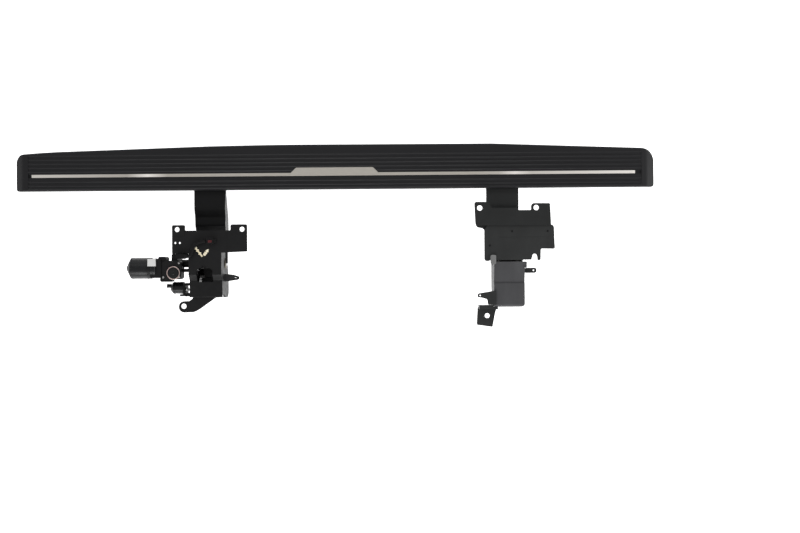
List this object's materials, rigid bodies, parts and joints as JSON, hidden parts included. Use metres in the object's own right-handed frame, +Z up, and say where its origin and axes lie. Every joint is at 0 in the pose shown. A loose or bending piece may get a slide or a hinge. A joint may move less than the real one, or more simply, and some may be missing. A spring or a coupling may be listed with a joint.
{
  "type": "power running board",
  "caption": "Deployable truck running board: ribbed step with a trim strip on two folding swing arms, one driven by a gear motor bracket.",
  "frame": {"origin": "middle of the drive bracket's mounting plate, in the plane of its pads", "axes": "+X along the step from the drive end to the passive end, +Y outboard, +Z up to the vehicle floor"},
  "size_m": [1.92, 0.5551, 0.1537],
  "materials": {
    "drive_steel": "satin black powder coat",
    "passive_steel": "satin black powder coat",
    "cast_black": "satin black coat on a casting",
    "board_black": "textured black powder coat on an extrusion",
    "trim_champagne": "brushed champagne anodised",
    "bare_steel": "zinc plated",
    "motor_grey": "smooth dark grey paint",
    "cover_plastic": "grained",
    "box_plastic": "grained",
    "rubber_black": "matte",
    "brass": "machined",
    "copper_ring": "plated ring",
    "clip_cream": "moulded",
    "lock_red": "moulded",
    "clip_grey": "moulded"
  },
  "bodies": {
    "brackets": {"drive_bracket": "drive_steel", "tail_flange": "drive_steel", "harness_tab": "drive_steel", "shaft_bush_left": "brass", "shaft_bush_right": "brass", "idler_pin": "bare_steel", "damper_bolt": "bare_steel", "passive_shaft": "bare_steel", "passive_idler_pin": "bare_steel", "gearbox_housing": "cast_black", "gearbox_cover": "cast_black", "shaft_sleeve": "cast_black", "damper_flange": "cast_black", "cover_ring": "copper_ring", "round_cover": "motor_grey", "motor_can": "motor_grey", "motor_end_cap": "motor_grey", "damper_body": "motor_grey", "lead_boot": "rubber_black", "pigtail": "rubber_black", "lead_connector": "rubber_black", "connector_lock": "lock_red", "lead_clip_1": "clip_cream", "lead_clip_2": "clip_cream", "passive_bracket": "passive_steel", "right_tab": "passive_steel", "left_tab": "passive_steel", "end_lug": "passive_steel", "passive_cover": "cover_plastic", "box_cover": "box_plastic", "clip_block": "clip_grey"},
    "drive": {"drive_shaft": "bare_steel", "drive_arm": "cast_black", "output_wheel": "brass"},
    "step": {"board": "board_black", "end_cap_left": "board_black", "end_cap_right": "board_black", "trim_strip_left": "trim_champagne", "trim_strip_right": "trim_champagne", "name_plate": "trim_champagne", "swing_arm": "cast_black", "arm_pin": "bare_steel", "arm_idler_pin": "bare_steel", "passive_swing_arm": "passive_steel", "passive_arm_pin": "bare_steel", "passive_arm_idler_pin": "bare_steel"},
    "idler": {"idler_link": "cast_black"},
    "passive_main": {"passive_link": "cast_black"},
    "passive_idler": {"passive_idler_link": "cast_black"},
    "worm": {"worm_shaft": "brass"},
    "rotor": {"armature": "bare_steel"}
  },
  "joints": [
    {"name": "drive_hinge", "type": "hinge", "parent": "brackets", "child": "drive", "pos_m": [-0.016, -0.066, -0.066], "axis": [1, 0, 0], "range_deg": [0, 90]},
    {"name": "step_level", "type": "hinge", "parent": "drive", "child": "step", "pos_m": [-0.016, -0.15686, -0.10271], "axis": [1, 0, 0], "range_deg": [-90, 0]},
    {"name": "idler_hinge", "type": "hinge", "parent": "brackets", "child": "idler", "pos_m": [-0.016, -0.018, -0.078], "axis": [1, 0, 0], "range_deg": [0, 90]},
    {"name": "passive_hinge", "type": "hinge", "parent": "brackets", "child": "passive_main", "pos_m": [0.892, -0.066, -0.066], "axis": [1, 0, 0], "range_deg": [0, 90]},
    {"name": "passive_idler_hinge", "type": "hinge", "parent": "brackets", "child": "passive_idler", "pos_m": [0.892, -0.018, -0.078], "axis": [1, 0, 0], "range_deg": [0, 90]},
    {"name": "worm_turn", "type": "hinge", "parent": "brackets", "child": "worm", "pos_m": [-0.1135, -0.0943, -0.06], "axis": [0, 0, 1], "range_deg": [-5, 545]},
    {"name": "armature_turn", "type": "hinge", "parent": "brackets", "child": "rotor", "pos_m": [-0.2, -0.0795, -0.034], "axis": [1, 0, 0], "range_deg": [-5, 3245]}
  ],
  "couplings": [
    {"joint": "step_level", "follows": "drive_hinge", "ratio": -1},
    {"joint": "idler_hinge", "follows": "drive_hinge", "ratio": 1},
    {"joint": "passive_hinge", "follows": "drive_hinge", "ratio": 1},
    {"joint": "passive_idler_hinge", "follows": "drive_hinge", "ratio": 1},
    {"joint": "worm_turn", "follows": "drive_hinge", "ratio": 6},
    {"joint": "armature_turn", "follows": "drive_hinge", "ratio": 36}
  ]
}
